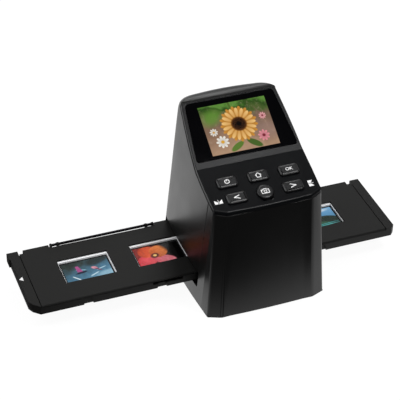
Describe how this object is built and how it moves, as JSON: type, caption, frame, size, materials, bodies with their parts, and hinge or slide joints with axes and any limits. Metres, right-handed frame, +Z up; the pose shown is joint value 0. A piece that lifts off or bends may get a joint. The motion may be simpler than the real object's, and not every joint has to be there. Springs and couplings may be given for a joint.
{
  "type": "film negative scanner",
  "caption": "Tapered desk-top scanner with a sloped keypad, a tilted display and a long hinged film holder that slides through the housing from side to side.",
  "frame": {"origin": "on the floor, at the centre of the footprint of housing and holder together", "axes": "+X along the film holder, +Y to the back of the housing, +Z up"},
  "size_m": [0.2706, 0.099, 0.1243],
  "materials": {
    "housing_plastic": "fine satin",
    "foot_rubber": "matte",
    "steel": "plain",
    "dark_steel": "blackened",
    "display_glass": "polished",
    "display": "lit picture",
    "ribbon": "flat",
    "board": "solder mask",
    "switch_plastic": "moulded",
    "key_plastic": "satin",
    "plunger_plastic": "moulded",
    "inner_plastic": "matte black",
    "lens_glass": "coated",
    "white_plastic": "opal",
    "lamp": "clear",
    "holder_plastic": "fine texture",
    "mount_plastic": "white",
    "film": "glossy"
  },
  "bodies": {
    "housing": {"main_shell": "housing_plastic", "face_panel": "housing_plastic", "rear_cover": "housing_plastic", "bottom_cover": "housing_plastic", "rubber_feet": "foot_rubber", "case_screws": "steel", "display_glass": "display_glass", "lcd_panel": "display", "lcd_frame": "steel", "lcd_ribbon": "ribbon", "keypad_board": "board", "key_switches": "switch_plastic", "panel_screws": "steel", "main_board": "board", "board_chips": "switch_plastic", "board_screws": "steel", "card_socket": "steel", "usb_port": "steel", "video_jack": "switch_plastic", "optics_tower": "inner_plastic", "optics_screws": "steel", "lens_barrel": "inner_plastic", "front_lens": "lens_glass", "rear_lens": "lens_glass", "sensor_board": "board", "image_sensor": "switch_plastic", "light_box": "inner_plastic", "diffuser": "white_plastic", "lamp_board": "white_plastic", "lamps": "lamp", "click_spring": "steel", "spring_screw": "steel"},
    "holder": {"holder_base": "holder_plastic", "holder_lid": "holder_plastic", "hinge_pins": "dark_steel", "slide_mount_1": "mount_plastic", "slide_mount_2": "mount_plastic", "slide_mount_3": "mount_plastic", "slide_mount_4": "mount_plastic", "film_1": "film", "film_2": "film", "film_3": "film", "film_4": "film"},
    "power": {"power_key": "key_plastic", "power_plunger": "plunger_plastic"},
    "home": {"home_key": "key_plastic", "home_plunger": "plunger_plastic"},
    "ok": {"ok_key": "key_plastic", "ok_plunger": "plunger_plastic"},
    "left": {"left_key": "key_plastic", "left_plunger": "plunger_plastic"},
    "scan": {"scan_key": "key_plastic", "scan_plunger": "plunger_plastic"},
    "right": {"right_key": "key_plastic", "right_plunger": "plunger_plastic"}
  },
  "joints": [
    {"name": "holder_slide", "type": "slide", "parent": "housing", "child": "holder", "axis": [1, 0, 0], "range_m": [-0.12, 0.17]},
    {"name": "power_press", "type": "slide", "parent": "housing", "child": "power", "axis": [0, -0.3074, 0.9516], "range_m": [-0.0005, 0], "stiffness_N_per_m": 3000},
    {"name": "home_press", "type": "slide", "parent": "housing", "child": "home", "axis": [0, -0.3074, 0.9516], "range_m": [-0.0005, 0], "stiffness_N_per_m": 3000},
    {"name": "ok_press", "type": "slide", "parent": "housing", "child": "ok", "axis": [0, -0.3074, 0.9516], "range_m": [-0.0005, 0], "stiffness_N_per_m": 3000},
    {"name": "left_press", "type": "slide", "parent": "housing", "child": "left", "axis": [0, -0.3074, 0.9516], "range_m": [-0.0005, 0], "stiffness_N_per_m": 3000},
    {"name": "scan_press", "type": "slide", "parent": "housing", "child": "scan", "axis": [0, -0.3074, 0.9516], "range_m": [-0.0005, 0], "stiffness_N_per_m": 3000},
    {"name": "right_press", "type": "slide", "parent": "housing", "child": "right", "axis": [0, -0.3074, 0.9516], "range_m": [-0.0005, 0], "stiffness_N_per_m": 3000}
  ]
}
